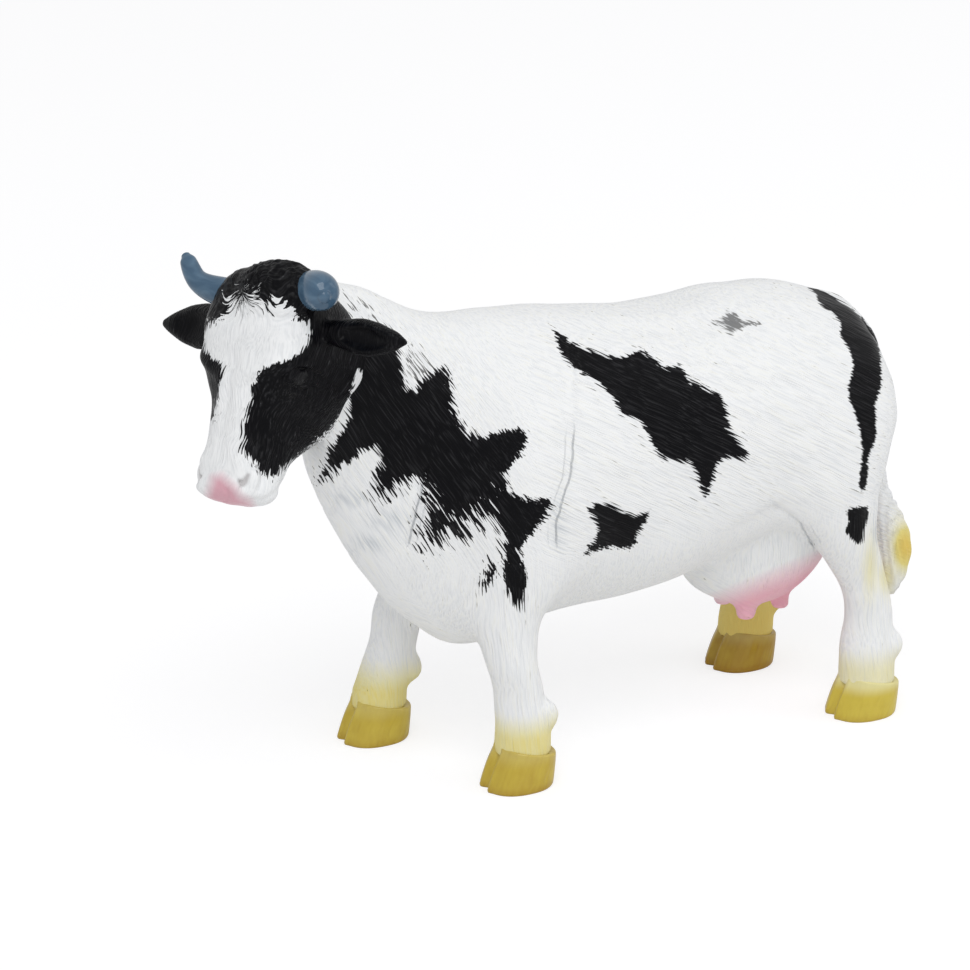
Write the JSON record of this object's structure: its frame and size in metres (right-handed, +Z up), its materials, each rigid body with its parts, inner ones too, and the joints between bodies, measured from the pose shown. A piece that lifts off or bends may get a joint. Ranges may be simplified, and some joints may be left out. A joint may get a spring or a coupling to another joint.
{
  "type": "toy farm animal figure",
  "caption": "Standing toy dairy cow in patched black and white, with its head turned to the left, blunt horns, cupped ears, cloven hooves, an udder and a hanging tail.",
  "frame": {"origin": "on the ground under the middle of the figure's bounding box", "axes": "-X is the way the cow faces, +Y is its right side, +Z is up"},
  "size_m": [0.1814, 0.0702, 0.1283],
  "materials": {
    "hide_white": "satin white vinyl with moulded coat strands",
    "hide_black": "satin black paint over moulded coat strands",
    "horn_slate": "glossy slate blue",
    "hoof_gold": "glossy ochre gold with a faint pearl",
    "udder_pink": "satin white vinyl sprayed pink towards the teats"
  },
  "bodies": {
    "root": {"trunk": "hide_white", "head": "hide_black", "left_horn": "horn_slate", "right_horn": "horn_slate", "left_ear": "hide_black", "right_ear": "hide_black", "udder": "udder_pink", "tail": "hide_white", "front_left_leg": "hide_white", "front_left_hoof": "hoof_gold", "front_right_leg": "hide_white", "front_right_hoof": "hoof_gold", "hind_left_leg": "hide_white", "hind_left_hoof": "hoof_gold", "hind_right_leg": "hide_white", "hind_right_hoof": "hoof_gold"}
  },
  "joints": []
}
